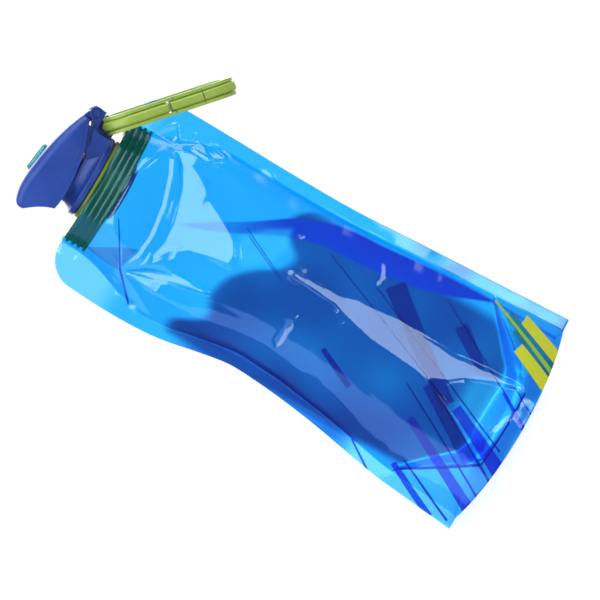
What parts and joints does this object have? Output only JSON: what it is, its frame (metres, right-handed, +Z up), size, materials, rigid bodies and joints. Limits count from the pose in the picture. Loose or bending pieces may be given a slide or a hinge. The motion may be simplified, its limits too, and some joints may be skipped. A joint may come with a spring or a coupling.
{
  "type": "folding water bottle",
  "caption": "Soft stand-up pouch bottle that folds when empty, with a welded spout, screw cap, flip lid over a drinking spout and a snap hook hanging from the cap.",
  "frame": {"origin": "middle of the base rim that the pouch stands on", "axes": "+Z up from the base to the cap; front towards -Y; the lid's hinge and the snap hook towards +X"},
  "size_m": [0.1352, 0.0544, 0.2713],
  "materials": {
    "blue_film": "glossy translucent azure film with printed stripes",
    "lime_plastic": "satin moulded lime green plastic",
    "blue_plastic": "satin moulded royal blue plastic",
    "teal_silicone": "translucent teal silicone",
    "clear_silicone": "frosted clear silicone",
    "black_rubber": "matt black rubber",
    "steel": "bright spring steel"
  },
  "bodies": {
    "pouch": {"front_film_lower": "blue_film", "back_film_lower": "blue_film", "bottom_gusset": "blue_film", "front_film_fold": "blue_film", "back_film_fold": "blue_film"},
    "shoulder": {"front_film_upper": "blue_film", "back_film_upper": "blue_film", "spout_fitment": "lime_plastic"},
    "gasket": {"cap_gasket": "black_rubber"},
    "cap": {"cap_body": "blue_plastic", "drinking_spout": "clear_silicone", "hinge_pin": "blue_plastic"},
    "lid": {"flip_lid": "blue_plastic", "lid_seal": "teal_silicone"},
    "carabiner": {"carabiner_body": "lime_plastic", "gate_pin": "steel", "gate_spring": "steel"},
    "gate": {"carabiner_gate": "lime_plastic"}
  },
  "joints": [
    {"name": "pouch_fold", "type": "hinge", "parent": "pouch", "child": "shoulder", "pos_m": [0, 0, 0.125], "axis": [1, 0, 0], "range_deg": [-80, 80], "stiffness_Nm_per_rad": 0.5, "deforming": ["front_film_fold", "back_film_fold"]},
    {"name": "cap_lift", "type": "slide", "parent": "shoulder", "child": "gasket", "axis": [0, 0, 1], "range_m": [0, 0.012], "deforming": ["front_film_upper", "back_film_upper"]},
    {"name": "cap_turn", "type": "hinge", "parent": "gasket", "child": "cap", "pos_m": [0, 0, 0.2402], "axis": [0, 0, 1], "range_deg": [0, 1080]},
    {"name": "lid_hinge", "type": "hinge", "parent": "cap", "child": "lid", "pos_m": [0.0273, 0, 0.2545], "axis": [0, 1, 0], "range_deg": [-7, 110]},
    {"name": "hook_swing", "type": "hinge", "parent": "cap", "child": "carabiner", "pos_m": [0.0245, 0, 0.2471], "axis": [0, -1, 0], "range_deg": [-16, 70]},
    {"name": "gate_hinge", "type": "hinge", "parent": "carabiner", "child": "gate", "pos_m": [0.04693, -0.017, 0.22718], "axis": [0.6639, 0, 0.7478], "range_deg": [0, 22], "stiffness_Nm_per_rad": 0.01, "springref_deg": -17.19, "deforming": ["gate_spring"]}
  ],
  "couplings": [
    {"joint": "cap_lift", "follows": "cap_turn", "m_per_rad": 0.00063662}
  ]
}
